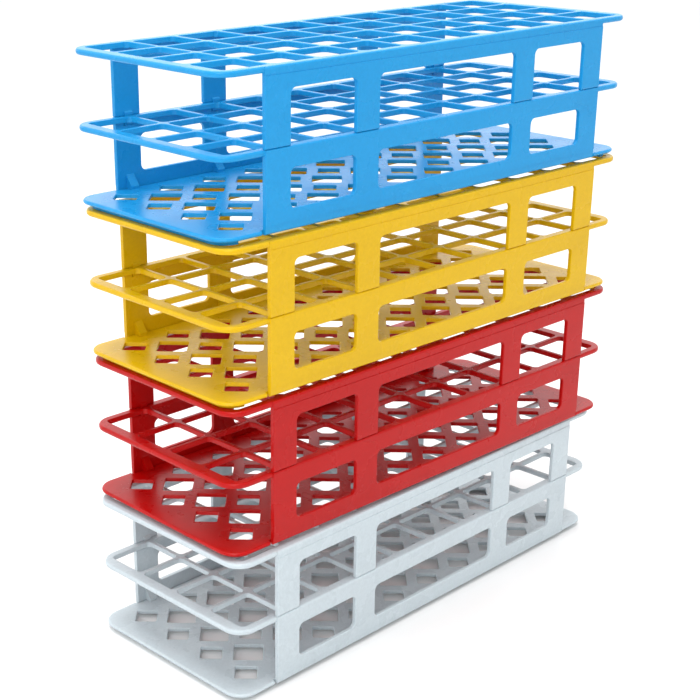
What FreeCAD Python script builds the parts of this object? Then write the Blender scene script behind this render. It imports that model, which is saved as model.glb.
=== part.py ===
import FreeCAD, Part
import Sketcher
import math
import os

# Four stacked test tube racks, each moulded in one colour from three pieces that
# snap together: a base plate, a middle tier and a top tier.
#
# Frame: +Z up, +X along the racks, +Y across them.  The origin is the middle of the
# stack's outline at the surface it stands on.  Millimetres.

DIMENSIONS = {
    # plates
    "plate_length": 246.0,
    "rack_width": 94.6,         # over the outer faces of the two side walls
    "plate_inset": 0.6,         # the plates' edges stand back from the walls' faces
    "corner_radius": 9.0,
    "plate_thick": 2.4,
    "base_thick": 1.8,
    # grid of tube cells
    "columns": 10,
    "rows": 4,
    "column_pitch": 23.71,
    "row_pitch": 21.97,
    "rib_width": 2.0,
    "cell_radius": 2.0,
    # heights above the surface the rack stands on
    "foot_height": 2.0,
    "sill_level": 10.2,
    "low_window_top": 25.9,
    "seam_level": 34.2,
    "high_window_top": 55.7,
    "rack_height": 64.5,
    # side walls
    "wall_length": 203.1,
    "wall_thick": 2.0,
    "post_width": 12.76,
    "middle_window": 82.56,
    "window_radius": 2.6,
    "band_height": 3.4,         # the walls' outer bands, top and bottom
    "band_step": 0.25,
    # base plate
    "small_hole": 9.5,
    "large_hole": 12.8,
    "hole_radius": 0.9,
    "foot_inset": 1.2,
    "foot_width": 5.0,
    "foot_reach": 11.0,
    "recess_gap": 1.1,
    # snap fits
    "clearance": 0.3,
    "tongue_width": 4.0,
    "tongue_thick": 1.2,
    "tongue_depth": 3.8,
    "tongue_root": 2.0,
    "tongue_bite": 0.5,         # how far a tongue reaches under its own wall
    "lug_depth": 3.6,
    "lug_height": 5.8,
    "lug_nose": 1.2,
}

# Colour of each rack from the floor up, and how the stack was put down by hand:
# shift along X and Y in millimetres and turn about Z in degrees.
RACKS = [
    ("grey", 0.0, 0.0, 0.0),
    ("red", 1.3, -0.2, -1.5),
    ("yellow", 0.9, 0.4, -1.7),
    ("blue", 0.9, 2.0, -2.0),
]

DIAMOND_TURN = 45.0             # degrees
LEAST_CUT = 1.0                 # cubic millimetres that any cut has to take away

doc = FreeCAD.newDocument("rack_stack")


def make_sheet():
    """The spreadsheet of driving dimensions, one alias to a row."""
    table = doc.addObject("Spreadsheet::Sheet", "sheet")
    for row, (alias, value) in enumerate(DIMENSIONS.items(), start=1):
        table.set("A%d" % row, alias)
        table.set("B%d" % row, str(value))
        table.setAlias("B%d" % row, alias)
    doc.recompute()
    return table


sheet = make_sheet()


def expr(text):
    """An expression in which every alias of the sheet is written out in full."""
    words = []
    word = ""
    for letter in text + " ":
        if letter.isalnum() or letter == "_":
            word += letter
            continue
        words.append("sheet." + word if word in DIMENSIONS else word)
        words.append(letter)
        word = ""
    return "".join(words).strip()


def value(text):
    """The number that an expression gives now."""
    result = sheet.evalExpression(expr(text))
    return float(getattr(result, "Value", result))


def origin_feature(body, role):
    """One of the body's own base planes or axes."""
    for feature in body.Origin.OriginFeatures:
        if feature.Role == role:
            return feature
    raise ValueError(role)


def new_sketch(body, name, plane, place=("0", "0", "0"), angle=0.0):
    """A sketch on one of the body's base planes, moved by expressions in its own axes."""
    sketch = body.newObject("Sketcher::SketchObject", name)
    sketch.AttachmentSupport = [(origin_feature(body, plane), "")]
    sketch.MapMode = "FlatFace"
    spin = FreeCAD.Rotation(FreeCAD.Vector(0, 0, 1), angle)
    sketch.AttachmentOffset = FreeCAD.Placement(FreeCAD.Vector(0, 0, 0), spin)
    for axis, text in zip("xyz", place):
        if text != "0":
            sketch.setExpression("AttachmentOffset.Base." + axis, expr(text))
    return sketch


def bind(sketch, constraint, text):
    """Adds a dimension to the sketch and ties it to the sheet."""
    index = sketch.addConstraint(constraint)
    label = "size%d" % index
    sketch.renameConstraint(index, label)
    sketch.setExpression("Constraints." + label, expr(text))


def rounded_rectangle(body, name, plane, width, height, radius, place=("0", "0", "0"), angle=0.0):
    """A sketch of a rectangle with round corners, centred on the sketch's origin."""
    sketch = new_sketch(body, name, plane, place, angle)
    corner = value(radius)
    side = value(width) / 2 - corner
    rise = value(height) / 2 - corner
    up = FreeCAD.Vector(0, 0, 1)
    quarter = math.pi / 2
    centres = [(side, rise), (-side, rise), (-side, -rise), (side, -rise)]
    for turn, (x, y) in enumerate(centres):
        circle = Part.Circle(FreeCAD.Vector(x, y, 0), up, corner)
        sketch.addGeometry(Part.ArcOfCircle(circle, turn * quarter, (turn + 1) * quarter), False)
    for turn in range(4):
        start = sketch.getPoint(turn, 2)
        end = sketch.getPoint((turn + 1) % 4, 1)
        sketch.addGeometry(Part.LineSegment(start, end), False)
    for turn in range(4):
        line = 4 + turn
        sketch.addConstraint(Sketcher.Constraint("Tangent", turn, 2, line, 1))
        sketch.addConstraint(Sketcher.Constraint("Tangent", line, 2, (turn + 1) % 4, 1))
    for first, second in ((4, "Horizontal"), (5, "Vertical"), (6, "Horizontal"), (7, "Vertical")):
        sketch.addConstraint(Sketcher.Constraint(second, first))
    for turn in (1, 2, 3):
        sketch.addConstraint(Sketcher.Constraint("Equal", 0, turn))
    sketch.addConstraint(Sketcher.Constraint("Symmetric", 0, 3, 2, 3, -1, 1))
    bind(sketch, Sketcher.Constraint("Radius", 0, corner), radius)
    bind(sketch, Sketcher.Constraint("DistanceX", 1, 3, 0, 3, 2 * side), "%s - 2 * %s" % (width, radius))
    bind(sketch, Sketcher.Constraint("DistanceY", 3, 3, 0, 3, 2 * rise), "%s - 2 * %s" % (height, radius))
    return sketch


def polygon(body, name, plane, corners, place=("0", "0", "0")):
    """A sketch of a closed outline whose corners are pairs of expressions."""
    sketch = new_sketch(body, name, plane, place)
    points = [FreeCAD.Vector(value(x), value(y), 0) for x, y in corners]
    count = len(points)
    for index in range(count):
        sketch.addGeometry(Part.LineSegment(points[index], points[(index + 1) % count]), False)
    for index in range(count):
        after = (index + 1) % count
        sketch.addConstraint(Sketcher.Constraint("Coincident", index, 2, after, 1))
    for index, (x, y) in enumerate(corners):
        bind(sketch, Sketcher.Constraint("DistanceX", -1, 1, index, 1, points[index].x), x)
        bind(sketch, Sketcher.Constraint("DistanceY", -1, 1, index, 1, points[index].y), y)
    return sketch


def rectangle(body, name, plane, low, high, place=("0", "0", "0")):
    """A sketch of a plain rectangle between two corners."""
    corners = [low, (high[0], low[1]), high, (low[0], high[1])]
    return polygon(body, name, plane, corners, place)


def pad(body, name, sketch, length, symmetric=False, downwards=False):
    """Adds material from a sketch."""
    feature = body.newObject("PartDesign::Pad", name)
    feature.Profile = sketch
    feature.SideType = "Symmetric" if symmetric else "One side"
    feature.Reversed = downwards
    feature.setExpression("Length", expr(length))
    doc.recompute()
    return feature


def pocket(body, name, sketch, length, symmetric=False, downwards=True):
    """Cuts a sketch out of the body, and makes sure that something was cut."""
    before = body.Shape.Volume
    feature = body.newObject("PartDesign::Pocket", name)
    feature.Profile = sketch
    feature.SideType = "Symmetric" if symmetric else "One side"
    feature.Reversed = not downwards
    feature.setExpression("Length", expr(length))
    doc.recompute()
    if body.Shape.Volume > before - LEAST_CUT:
        raise RuntimeError(name + " cuts nothing")
    return feature


def grid_pattern(body, name, feature, columns, rows):
    """Repeats a feature over columns along X and rows along Y."""
    pattern = body.newObject("PartDesign::LinearPattern", name)
    pattern.Originals = [feature]
    pattern.Direction = (origin_feature(body, "X_Axis"), [""])
    pattern.Direction2 = (origin_feature(body, "Y_Axis"), [""])
    pattern.setExpression("Length", expr("column_pitch * (%s - 1)" % columns))
    pattern.setExpression("Length2", expr("row_pitch * (%s - 1)" % rows))
    pattern.setExpression("Occurrences", expr(columns))
    pattern.setExpression("Occurrences2", expr(rows))
    body.Tip = pattern
    doc.recompute()
    return pattern


def mirror(body, name, features, plane):
    """Repeats features on the other side of one of the body's base planes."""
    mirrored = body.newObject("PartDesign::Mirrored", name)
    mirrored.Originals = features
    mirrored.MirrorPlane = (origin_feature(body, plane), [""])
    body.Tip = mirrored
    doc.recompute()
    return mirrored


def mirror_both_ways(body, name, features):
    """Repeats features at all four corners of the rack."""
    corners = body.newObject("PartDesign::MultiTransform", name)
    corners.Originals = features
    halves = []
    for plane in ("XZ_Plane", "YZ_Plane"):
        half = body.newObject("PartDesign::Mirrored", name + plane[:2])
        half.MirrorPlane = (origin_feature(body, plane), [""])
        halves.append(half)
    corners.Transformations = halves
    body.Tip = corners
    doc.recompute()
    return corners


def plate_outline(body, name, level, inset="0"):
    """The sketch of a plate's outer edge, or of a line set in from it."""
    length = "plate_length - 2 * %s" % inset
    width = "rack_width - 2 * plate_inset - 2 * %s" % inset
    radius = "corner_radius - %s" % inset
    return rounded_rectangle(body, name, "XY_Plane", length, width, radius, ("0", "0", level))


def add_plate(body, top):
    """A tier's flat plate, not yet pierced."""
    outline = plate_outline(body, "plate_outline", top)
    return pad(body, "plate", outline, "plate_thick", downwards=True)


def add_cells(body, top):
    """The grid of square cells that hold the tubes."""
    place = (
        "-column_pitch * (columns - 1) / 2",
        "-row_pitch * (rows - 1) / 2",
        top,
    )
    cell = rounded_rectangle(
        body, "cell_outline", "XY_Plane",
        "column_pitch - rib_width", "row_pitch - rib_width", "cell_radius", place,
    )
    corner_cell = pocket(body, "corner_cell", cell, "plate_thick")
    grid_pattern(body, "cells", corner_cell, "columns", "rows")


def add_walls(body, bottom, top, band_bottom, band_top):
    """Both side walls.  The band between two levels, at one end, is a little thinner."""
    inner = "rack_width / 2 - wall_thick"
    outer = "rack_width / 2"
    end = "wall_length / 2"
    whole = rectangle(
        body, "wall_plan", "XY_Plane",
        ("-" + end, inner), (end, outer + " - band_step"), ("0", "0", bottom),
    )
    wall = pad(body, "wall", whole, "%s - (%s)" % (top, bottom))
    face_bottom = bottom if band_top == top else band_top
    face_top = band_bottom if band_top == top else top
    proud = rectangle(
        body, "face_plan", "XY_Plane",
        ("-" + end, inner), (end, outer), ("0", "0", face_bottom),
    )
    face = pad(body, "wall_face", proud, "%s - (%s)" % (face_top, face_bottom))
    mirror(body, "far_wall", [wall, face], "XZ_Plane")


def add_windows(body, bottom, top):
    """Three windows through both side walls between two levels."""
    middle_of_window = "((%s) + (%s)) / 2" % (bottom, top)
    height = "(%s) - (%s)" % (top, bottom)
    side_width = "(wall_length - middle_window) / 2 - 2 * post_width"
    side_place = "(wall_length - middle_window) / 4 + middle_window / 2"
    middle = rounded_rectangle(
        body, "middle_window_outline", "XZ_Plane",
        "middle_window", height, "window_radius", ("0", middle_of_window, "0"),
    )
    pocket(body, "middle_windows", middle, "rack_width + wall_thick", symmetric=True)
    side = rounded_rectangle(
        body, "side_window_outline", "XZ_Plane",
        side_width, height, "window_radius", (side_place, middle_of_window, "0"),
    )
    right = pocket(body, "right_windows", side, "rack_width + wall_thick", symmetric=True)
    mirror(body, "left_windows", [right], "YZ_Plane")


POST_PLACES = {
    "inner": "(middle_window + post_width) / 2",
    "outer": "(wall_length - post_width) / 2",
}


def add_at_posts(body, name, corners, width):
    """Pads one profile across the foot of every post of both walls."""
    feet = []
    for post, place in POST_PLACES.items():
        profile = polygon(body, "%s_%s_profile" % (name, post), "YZ_Plane", corners, ("0", "0", place))
        feet.append(pad(body, "%s_%s" % (name, post), profile, width, symmetric=True))
    mirror_both_ways(body, name + "s", feet)


def add_slots(body, name, tongue_centre, level, depth):
    """Slots through a plate for the tongues of the piece above."""
    slots = []
    for post, place in POST_PLACES.items():
        outline = rounded_rectangle(
            body, "%s_%s_outline" % (name, post), "XY_Plane",
            "tongue_width + 2 * clearance", "tongue_thick + 2 * clearance", "clearance",
            (place, tongue_centre, level),
        )
        slots.append(pocket(body, "%s_%s" % (name, post), outline, depth))
    mirror_both_ways(body, name + "s", slots)


TOP_TONGUE = "rack_width / 2 - wall_thick + tongue_bite - tongue_thick / 2"
LUG_TONGUE = "rack_width / 2 - wall_thick - lug_depth + lug_nose / 2 + tongue_thick / 2"


def diamond_holes(body, name, side, columns, rows, top):
    """A grid of square holes standing on their corners."""
    place = (
        "-column_pitch * (%s - 1) / 2" % columns,
        "-row_pitch * (%s - 1) / 2" % rows,
        top,
    )
    outline = rounded_rectangle(
        body, name + "_outline", "XY_Plane", side, side, "hole_radius", place, DIAMOND_TURN,
    )
    hole = pocket(body, name, outline, "base_thick")
    grid_pattern(body, name + "s", hole, columns, rows)


def add_feet(body):
    """A low foot that follows the plate's edge round each end."""
    outline = plate_outline(body, "foot_outline", "foot_height", "foot_inset")
    pad(body, "foot_block", outline, "foot_height", downwards=True)
    inside = "(foot_inset + foot_width)"
    hollow = rounded_rectangle(
        body, "foot_hollow_outline", "XY_Plane",
        "plate_length - 2 * " + inside, "rack_width - 2 * plate_inset - 2 * " + inside,
        "corner_radius / 2",
    )
    pocket(body, "foot_hollow", hollow, "foot_height", downwards=False)
    reach = "(plate_length / 2 - foot_reach)"
    gap = rectangle(
        body, "foot_gap_outline", "XY_Plane",
        ("-" + reach, "-rack_width / 2"), (reach, "rack_width / 2"),
    )
    pocket(body, "foot_gap", gap, "foot_height", downwards=False)


def add_wall_recesses(body, top):
    """Both long edges are cut back where the middle tier's walls come down."""
    end = "(wall_length / 2 + recess_gap)"
    outline = rectangle(
        body, "recess_outline", "XY_Plane",
        ("-" + end, "rack_width / 2 - wall_thick - clearance"), (end, "rack_width / 2 + clearance"),
        ("0", "0", top),
    )
    near = pocket(body, "recess", outline, "base_thick")
    mirror(body, "far_recess", [near], "XZ_Plane")


def build_base_plate(body):
    """The flat base: a lattice of diamond holes, feet under both ends."""
    top = "foot_height + base_thick"
    pad(body, "plate", plate_outline(body, "plate_outline", top), "base_thick", downwards=True)
    add_feet(body)
    add_wall_recesses(body, top)
    add_slots(body, "lug_slot", LUG_TONGUE, top, "base_thick")
    diamond_holes(body, "small_hole", "small_hole", "columns", "rows", top)
    diamond_holes(body, "large_hole", "large_hole", "(columns - 1)", "(rows - 1)", top)


def build_middle_tier(body):
    """A grid of cells with a low wall down each side, standing on the base plate."""
    add_plate(body, "seam_level")
    add_walls(body, "foot_height", "seam_level", "foot_height", "foot_height + band_height")
    add_windows(body, "sill_level", "low_window_top")
    add_slots(body, "tongue_slot", TOP_TONGUE, "seam_level", "tongue_depth + clearance")
    wall = "rack_width / 2 - wall_thick"
    base = "foot_height + base_thick"
    foot = wall + " - lug_depth"
    tip = "foot_height + clearance"
    lug = [
        (wall + " + clearance", base),
        (wall + " + clearance", base + " + lug_height"),
        (wall, base + " + lug_height"),
        (foot, base + " + lug_nose"),
        (foot, base),
        (foot + " + lug_nose / 2", base),
        (foot + " + lug_nose / 2", tip),
        (foot + " + lug_nose / 2 + tongue_thick", tip),
        (foot + " + lug_nose / 2 + tongue_thick", base),
    ]
    add_at_posts(body, "lug", lug, "tongue_width")
    add_cells(body, "seam_level")


def build_top_tier(body):
    """A grid of cells with four posts a side, standing on the middle tier."""
    add_plate(body, "rack_height")
    add_walls(body, "seam_level", "rack_height", "rack_height - band_height", "rack_height")
    below = "seam_level - 2 * window_radius"
    add_windows(body, below, "high_window_top")
    wall = "rack_width / 2 - wall_thick"
    face = wall + " + tongue_bite"
    back = face + " - tongue_thick"
    tongue = [
        (face, "seam_level - tongue_depth"),
        (face, "seam_level + tongue_root"),
        (wall, "seam_level + tongue_root"),
        (back, "seam_level + tongue_root + tongue_bite - tongue_thick"),
        (back, "seam_level - tongue_depth"),
    ]
    add_at_posts(body, "tongue", tongue, "tongue_width")
    add_cells(body, "rack_height")


BUILDERS = {
    "base_plate": build_base_plate,
    "middle_tier": build_middle_tier,
    "top_tier": build_top_tier,
}


def place_rack(body, index):
    """Puts a piece on the rack below, where the hand left it."""
    colour, shift_x, shift_y, turn = RACKS[index]
    spin = FreeCAD.Rotation(FreeCAD.Vector(0, 0, 1), turn)
    level = index * value("rack_height")
    body.Placement = FreeCAD.Placement(FreeCAD.Vector(shift_x, shift_y, level), spin)


def centre_stack(pieces):
    """Moves the whole stack so that its outline is centred on the origin."""
    outline = FreeCAD.BoundBox()
    for body in pieces:
        outline.add(body.Shape.BoundBox)
    middle = FreeCAD.Vector(outline.Center.x, outline.Center.y, 0)
    for body in pieces:
        body.Placement = FreeCAD.Placement(body.Placement.Base - middle, body.Placement.Rotation)
    print("middle of the outline was %s" % middle)


def build_all():
    """Every piece of every rack, from the floor up."""
    pieces = []
    for index, rack in enumerate(RACKS):
        for piece, builder in BUILDERS.items():
            label = "%s_%s" % (rack[0], piece)
            body = doc.addObject("PartDesign::Body", label)
            body.Label = label
            builder(body)
            place_rack(body, index)
            pieces.append(body)
    doc.recompute()
    centre_stack(pieces)
    doc.recompute()
    return pieces


def check_and_write(pieces):
    """Stops on any failed feature or bad solid, then writes one file to a piece."""
    for thing in doc.Objects:
        if "Invalid" in thing.State or "Error" in thing.State:
            raise RuntimeError("%s failed: %s" % (thing.Name, thing.State))
    os.makedirs("parts", exist_ok=True)
    for body in pieces:
        shape = body.Shape
        if shape.isNull() or not shape.isValid() or len(shape.Solids) != 1:
            raise RuntimeError("%s is not one sound solid" % body.Label)
        shape.exportStep("parts/%s.step" % body.Label)
        print("%-22s %9.1f mm3" % (body.Label, shape.Volume))


check_and_write(build_all())
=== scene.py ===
import math

import bmesh
import bpy
from mathutils import Matrix, Vector


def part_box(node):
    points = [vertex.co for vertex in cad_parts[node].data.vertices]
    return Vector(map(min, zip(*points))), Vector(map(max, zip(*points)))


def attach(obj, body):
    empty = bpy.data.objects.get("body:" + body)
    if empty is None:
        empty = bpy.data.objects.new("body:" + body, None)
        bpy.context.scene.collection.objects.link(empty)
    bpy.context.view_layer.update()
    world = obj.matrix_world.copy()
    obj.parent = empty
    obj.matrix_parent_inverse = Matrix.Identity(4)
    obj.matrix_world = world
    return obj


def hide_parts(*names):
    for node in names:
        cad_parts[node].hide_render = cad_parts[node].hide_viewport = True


# Four test tube racks in a stack, each moulded in one colour of polypropylene.
# Every moulding is rebuilt from its CAD solid with rounded edges.  Metres, CAD frame.

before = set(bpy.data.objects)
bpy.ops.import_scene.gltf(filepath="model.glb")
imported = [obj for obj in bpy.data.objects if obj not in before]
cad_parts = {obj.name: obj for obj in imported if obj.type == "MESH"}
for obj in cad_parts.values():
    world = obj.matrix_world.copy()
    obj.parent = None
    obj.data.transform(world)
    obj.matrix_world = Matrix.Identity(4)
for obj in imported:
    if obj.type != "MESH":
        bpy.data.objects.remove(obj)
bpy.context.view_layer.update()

MM = 0.001

# How far each rack is turned about Z in the CAD frame, in degrees, from the floor up
TURNS = {"grey": 0.0, "red": -1.5, "yellow": -1.7, "blue": -2.0}
RACKS = list(TURNS)
PIECES = ("base_plate", "middle_tier", "top_tier")
RACK_HEIGHT = 64.5 * MM

# Outlines inside one rack, from its middle, and the heights of its windows' level edges
WALL_FACE = 47.3 * MM
WALL_END = 101.55 * MM
PLATE_END = 123.0 * MM
PLATE_SIDE = 46.7 * MM
PLATE_CORNER = 9.0 * MM
WINDOW_LEVELS = (10.2 * MM, 25.9 * MM, 55.7 * MM)

# Where the tongues, lugs and their slots lie, under the posts
POST_CENTRES = (47.66 * MM, 95.17 * MM)
SLOT_HALF = 2.7 * MM
SLOT_REACH = (41.6 * MM, 46.4 * MM)

# How near an edge has to be to count as level, on an outline, on a wall or beside it
FLAT = 0.02 * MM
ON_OUTLINE = 0.3 * MM
ON_WALL = 0.4 * MM
BESIDE_WALL = 0.9 * MM

# A ledge: how far its normal is upright at least, and how deep a narrow one is at most
LEDGE_UPRIGHT = 0.5
NARROW_LEDGE = 0.3 * MM

# Edge roundings of the mouldings
ROUND_EDGE = 0.9 * MM
OUTER_EDGE_SHARE = 1.0
SMALL_EDGE_SHARE = 0.42
WALL_END_SHARE = 0.22
ROUND_SEGMENTS = 3
SHARP_ANGLE = math.radians(28)
COPLANAR_ANGLE = math.radians(0.6)
WELD_DISTANCE = 0.004 * MM

# Seams half a cell apart, through the middle of every hole: axis, step, seams each side
CUTS = (
    (Vector((1.0, 0.0, 0.0)), 11.855 * MM, 9),
    (Vector((0.0, 1.0, 0.0)), 10.985 * MM, 3),
)

# Linear colours of each rack, at the light and at the deep end of its flow streaks
COLOURS = {
    "grey": ((0.50, 0.565, 0.60), (0.475, 0.54, 0.575)),
    "red": ((0.43, 0.002, 0.002), (0.38, 0.001, 0.001)),
    "yellow": ((0.63, 0.39, 0.002), (0.59, 0.36, 0.001)),
    "blue": ((0.012, 0.27, 0.58), (0.009, 0.25, 0.55)),
}

# How the plastic varies: where the streaks' two ends lie in the noise, how long they are
# drawn out, and what the middle of a noise's values is spread to
STREAK_ENDS = (0.32, 0.68)
STREAK_STRETCH = (6.0, 30.0, 30.0)
NOISE_MIDDLE = (0.3, 0.7)
SPECK_RANGE = (0.965, 1.035)
GLOSS_RANGE = (0.22, 0.34)

# The floor, and white surroundings that are brighter behind the racks than in front
FLOOR_HALF = 6.0
FLOOR_COLOUR = (0.82, 0.82, 0.82, 1.0)
WHITE = (1.0, 1.0, 1.0, 1.0)
BRIGHT_SIDE = (0.35, 0.937, 0.0)
WORLD_STRENGTH = (0.7, 1.7)
STACK_MIDDLE = (0.0, 0.0, 0.15)

# The camera: its place from the middle of the lowest rack, its angles and its lens
CAMERA_PLACE = Vector((-466.26, -418.82, 336.01)) * MM
CAMERA_TURN = math.radians(-43.149)
CAMERA_TILT = math.radians(68.786)
CAMERA_ROLL = math.radians(-0.522)
CAMERA_LENS = 74.01
CAMERA_SHIFT = (0.147, 0.0609)


# Mouldings


def rack_middle(node):
    """Where the middle of a rack stands, at the level of its feet."""
    low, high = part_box(node)
    level = RACKS.index(node.split("_")[0]) * RACK_HEIGHT
    return Vector(((low.x + high.x) / 2, (low.y + high.y) / 2, level))


def cut_across(bm, axis, place):
    """A seam through the mesh, so that no flat face runs right round a hole."""
    made = bmesh.ops.bisect_plane(
        bm, geom=bm.verts[:] + bm.edges[:] + bm.faces[:], dist=WELD_DISTANCE,
        plane_co=axis * place, plane_no=axis,
    )
    for item in made["geom_cut"]:
        if isinstance(item, bmesh.types.BMEdge):
            item.seam = True


def local_mesh(node):
    """A welded copy of a CAD mesh in its rack's own frame, flat faces merged between seams."""
    bm = bmesh.new()
    bm.from_mesh(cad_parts[node].data)
    bmesh.ops.remove_doubles(bm, verts=bm.verts, dist=WELD_DISTANCE)
    bmesh.ops.translate(bm, verts=bm.verts, vec=-rack_middle(node))
    for axis, step, last in CUTS:
        for count in range(-last, last + 1):
            cut_across(bm, axis, count * step)
    bmesh.ops.dissolve_limit(
        bm, angle_limit=COPLANAR_ANGLE, use_dissolve_boundaries=False,
        verts=bm.verts, edges=bm.edges, delimit={"NORMAL", "SEAM"},
    )
    return bm


def is_band_step(edge):
    """True for the fine step that runs along a wall, under its top or over its foot."""
    (a, b) = (v.co for v in edge.verts)
    level = abs(a.z - b.z) < FLAT
    on_wall = min(abs(a.y), abs(b.y)) > WALL_FACE - ON_WALL
    slopes = sorted(round(abs(face.normal.z), 1) for face in edge.link_faces)
    ledges = [face for face in edge.link_faces if abs(face.normal.z) > LEDGE_UPRIGHT]
    reaches = [abs(v.co.y) for face in ledges for v in face.verts]
    narrow = bool(reaches) and max(reaches) - min(reaches) < NARROW_LEDGE
    return level and on_wall and slopes == [0.0, 1.0] and narrow


def is_outer(edge):
    """True for the long outer edges of rims, plates and wall tops."""
    (a, b) = (v.co for v in edge.verts)
    if abs(a.z - b.z) > FLAT or any(abs(a.z - level) < FLAT for level in WINDOW_LEVELS):
        return False
    middle = Vector((abs(a.x + b.x) / 2, abs(a.y + b.y) / 2))
    corner = middle - Vector((PLATE_END - PLATE_CORNER, PLATE_SIDE - PLATE_CORNER))
    round_corner = min(corner) > 0.0 and corner.length > PLATE_CORNER - ON_OUTLINE
    along_end = abs(middle.x - PLATE_END) < ON_OUTLINE
    along_side = middle.y > WALL_FACE - BESIDE_WALL
    return round_corner or along_end or along_side


def is_slot(edge):
    """True for the edges of tongues, lugs and their slots, which stay as moulded."""
    (low, high) = SLOT_REACH
    return all(
        low < abs(v.co.y) < high
        and min(abs(abs(v.co.x) - post) for post in POST_CENTRES) < SLOT_HALF
        for v in edge.verts
    )


def edge_share(edge):
    """How much of the full rounding an edge gets."""
    if all(abs(abs(v.co.x) - WALL_END) < FLAT for v in edge.verts):
        return WALL_END_SHARE
    return OUTER_EDGE_SHARE if is_outer(edge) else SMALL_EDGE_SHARE


def rounded(node):
    """The moulding's mesh with a weight on every edge that is to be rounded."""
    bm = local_mesh(node)
    weight = bm.edges.layers.float.new("bevel_weight_edge")
    for edge in bm.edges:
        edge.smooth = True
        if len(edge.link_faces) != 2 or edge.calc_face_angle(0.0) < SHARP_ANGLE:
            continue
        if is_band_step(edge) or is_slot(edge):
            edge.smooth = False
        else:
            edge[weight] = edge_share(edge)
    for face in bm.faces:
        face.smooth = True
    mesh = bpy.data.meshes.new(node)
    bm.to_mesh(mesh)
    bm.free()
    return mesh


def add_finish(piece):
    """Rounded edges and shading that keeps the flat faces flat."""
    bevel = piece.modifiers.new("edges", "BEVEL")
    bevel.limit_method = "WEIGHT"
    bevel.width = ROUND_EDGE
    bevel.segments = ROUND_SEGMENTS
    bevel.use_clamp_overlap = False
    bevel.miter_outer = "MITER_ARC"
    normals = piece.modifiers.new("normals", "WEIGHTED_NORMAL")
    normals.keep_sharp = True


# Materials


def add_noise(tree, place, scale, detail):
    """A noise texture over the given coordinates."""
    noise = tree.nodes.new("ShaderNodeTexNoise")
    noise.inputs["Scale"].default_value = scale
    noise.inputs["Detail"].default_value = detail
    tree.links.new(place, noise.inputs["Vector"])
    return noise


def add_range(tree, value, source, target):
    """The value, mapped from the source range to the target range."""
    mapped = tree.nodes.new("ShaderNodeMapRange")
    (mapped.inputs["From Min"].default_value, mapped.inputs["From Max"].default_value) = source
    (mapped.inputs["To Min"].default_value, mapped.inputs["To Max"].default_value) = target
    tree.links.new(value, mapped.inputs["Value"])
    return mapped.outputs["Result"]


def add_bump(tree, noise, strength, depth):
    """A bump that follows a noise."""
    bump = tree.nodes.new("ShaderNodeBump")
    bump.inputs["Strength"].default_value = strength
    bump.inputs["Distance"].default_value = depth
    tree.links.new(noise.outputs["Fac"], bump.inputs["Height"])
    return bump


def add_streaks(tree, place, light, deep):
    """Melt flow: long soft streaks along the moulding."""
    stretch = tree.nodes.new("ShaderNodeMapping")
    stretch.inputs["Scale"].default_value = STREAK_STRETCH
    tree.links.new(place, stretch.inputs["Vector"])
    flow = add_noise(tree, stretch.outputs["Vector"], scale=1.6, detail=4.0)
    flow.inputs["Roughness"].default_value = 0.55
    flow.inputs["Distortion"].default_value = 0.6
    tone = tree.nodes.new("ShaderNodeValToRGB")
    for stop, position, colour in zip(tone.color_ramp.elements, STREAK_ENDS, (deep, light)):
        stop.position = position
        stop.color = (*colour, 1.0)
    tree.links.new(flow.outputs["Fac"], tone.inputs["Fac"])
    return tone.outputs["Color"]


def add_specks(tree, place, colour):
    """Pigment specks, very faint."""
    specks = add_noise(tree, place, scale=900.0, detail=2.0)
    speckled = tree.nodes.new("ShaderNodeVectorMath")
    speckled.operation = "SCALE"
    tree.links.new(colour, speckled.inputs[0])
    strength = add_range(tree, specks.outputs["Fac"], NOISE_MIDDLE, SPECK_RANGE)
    tree.links.new(strength, speckled.inputs["Scale"])
    return speckled.outputs["Vector"]


def add_skin(tree, place):
    """Moulded skin: fine grain over a slow waviness of the thin walls."""
    grain = add_noise(tree, place, scale=2600.0, detail=3.0)
    waves = add_noise(tree, place, scale=26.0, detail=1.5)
    fine = add_bump(tree, grain, strength=0.10, depth=0.04 * MM)
    slow = add_bump(tree, waves, strength=0.35, depth=0.5 * MM)
    tree.links.new(fine.outputs["Normal"], slow.inputs["Normal"])
    return slow.outputs["Normal"]


def plastic(name, light, deep):
    """Injection moulded polypropylene: semi-gloss, faintly cloudy, with a fine moulded skin."""
    material = bpy.data.materials.new(name)
    material.use_nodes = True
    tree = material.node_tree
    tree.nodes.clear()
    out = tree.nodes.new("ShaderNodeOutputMaterial")
    shader = tree.nodes.new("ShaderNodeBsdfPrincipled")
    tree.links.new(shader.outputs["BSDF"], out.inputs["Surface"])
    shader.inputs["IOR"].default_value = 1.49
    shader.inputs["Specular IOR Level"].default_value = 0.22
    shader.inputs["Subsurface Weight"].default_value = 0.12
    shader.inputs["Subsurface Radius"].default_value = (1.0, 1.0, 1.0)
    shader.inputs["Subsurface Scale"].default_value = 1.2 * MM

    place = tree.nodes.new("ShaderNodeTexCoord").outputs["Object"]
    colour = add_specks(tree, place, add_streaks(tree, place, light, deep))
    tree.links.new(colour, shader.inputs["Base Color"])

    # gloss that varies with handling
    patches = add_noise(tree, place, scale=55.0, detail=5.0)
    gloss = add_range(tree, patches.outputs["Fac"], NOISE_MIDDLE, GLOSS_RANGE)
    tree.links.new(gloss, shader.inputs["Roughness"])
    tree.links.new(add_skin(tree, place), shader.inputs["Normal"])
    return material


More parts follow.
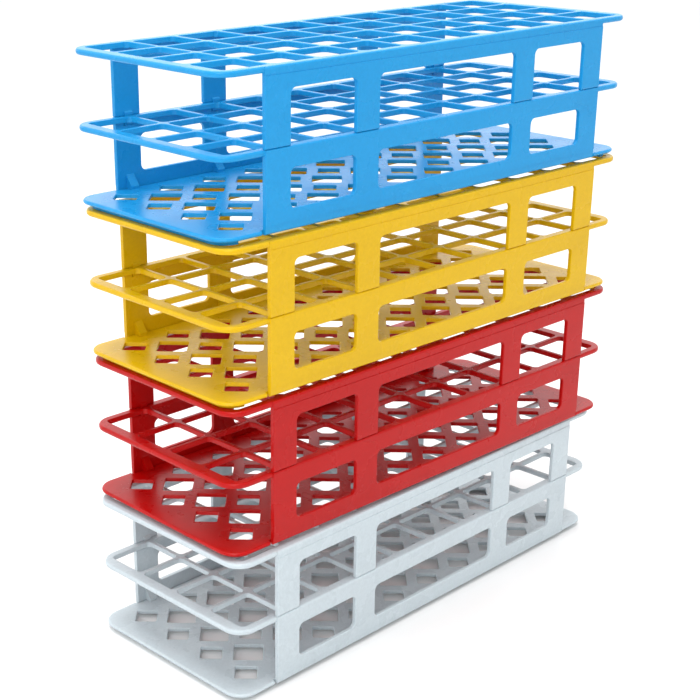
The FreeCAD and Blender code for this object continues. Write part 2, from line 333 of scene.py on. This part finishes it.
def build_racks():
    """One rounded moulding for each CAD node, in its rack's colour."""
    shapes = {kind: rounded("%s_%s" % (RACKS[0], kind)) for kind in PIECES}
    for colour in RACKS:
        material = plastic(colour + "_polypropylene", *COLOURS[colour])
        for kind in PIECES:
            node = "%s_%s" % (colour, kind)
            mesh = shapes[kind].copy()
            mesh.materials.clear()
            mesh.materials.append(material)
            piece = bpy.data.objects.new(node + "_moulding", mesh)
            bpy.context.scene.collection.objects.link(piece)
            turn = Matrix.Rotation(math.radians(TURNS[colour]), 4, "Z")
            piece.matrix_world = Matrix.Translation(rack_middle(node)) @ turn
            add_finish(piece)
            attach(piece, node)
            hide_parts(node)


# Stage, lights and camera


def add_floor():
    """A plain pale floor."""
    mesh = bpy.data.meshes.new("floor")
    signs = ((-1, -1), (1, -1), (1, 1), (-1, 1))
    corners = [(x * FLOOR_HALF, y * FLOOR_HALF, 0.0) for x, y in signs]
    mesh.from_pydata(corners, [], [(0, 1, 2, 3)])
    floor = bpy.data.objects.new("floor", mesh)
    bpy.context.scene.collection.objects.link(floor)
    material = bpy.data.materials.new("pale_floor")
    material.use_nodes = True
    shader = material.node_tree.nodes["Principled BSDF"]
    shader.inputs["Base Color"].default_value = FLOOR_COLOUR
    shader.inputs["Roughness"].default_value = 0.9
    shader.inputs["Specular IOR Level"].default_value = 0.1
    mesh.materials.append(material)


def add_world():
    """White surroundings, brighter behind the racks."""
    world = bpy.data.worlds.new("studio")
    bpy.context.scene.world = world
    world.use_nodes = True
    tree = world.node_tree
    background = tree.nodes["Background"]
    background.inputs["Color"].default_value = WHITE
    place = tree.nodes.new("ShaderNodeTexCoord")
    across = tree.nodes.new("ShaderNodeVectorMath")
    across.operation = "DOT_PRODUCT"
    across.inputs[1].default_value = BRIGHT_SIDE
    tree.links.new(place.outputs["Generated"], across.inputs[0])
    strength = add_range(tree, across.outputs["Value"], (-1.0, 1.0), WORLD_STRENGTH)
    tree.links.new(strength, background.inputs["Strength"])


def add_area(name, place, size, power):
    """A soft square light that points at the racks."""
    data = bpy.data.lights.new(name, "AREA")
    data.shape = "SQUARE"
    data.size = size
    data.energy = power
    light = bpy.data.objects.new(name, data)
    bpy.context.scene.collection.objects.link(light)
    light.location = place
    aim = Vector(STACK_MIDDLE) - Vector(place)
    light.rotation_euler = aim.to_track_quat("-Z", "Y").to_euler()


def add_lights():
    """A soft key light on the camera's side, and a larger one above."""
    add_area("key", place=(-0.75, -0.6, 0.6), size=0.5, power=4.0)
    add_area("top", place=(-0.1, 0.0, 1.5), size=1.0, power=14.0)


def add_camera():
    """The camera, placed from the middle of the lowest rack."""
    low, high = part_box("grey_base_plate")
    middle = Vector(((low.x + high.x) / 2, (low.y + high.y) / 2, 0.0))
    data = bpy.data.cameras.new("camera")
    data.sensor_width = 36.0
    data.lens = CAMERA_LENS
    (data.shift_x, data.shift_y) = CAMERA_SHIFT
    data.clip_start = 0.01
    data.clip_end = 50.0
    camera = bpy.data.objects.new("camera", data)
    bpy.context.scene.collection.objects.link(camera)
    turn = Matrix.Rotation(CAMERA_TURN, 4, "Z")
    tilt = Matrix.Rotation(CAMERA_TILT, 4, "X")
    roll = Matrix.Rotation(CAMERA_ROLL, 4, "Z")
    camera.matrix_world = Matrix.Translation(middle + CAMERA_PLACE) @ turn @ tilt @ roll
    bpy.context.scene.camera = camera


build_racks()
add_floor()
add_world()
add_lights()
add_camera()
bpy.context.scene.view_settings.view_transform = "Standard"
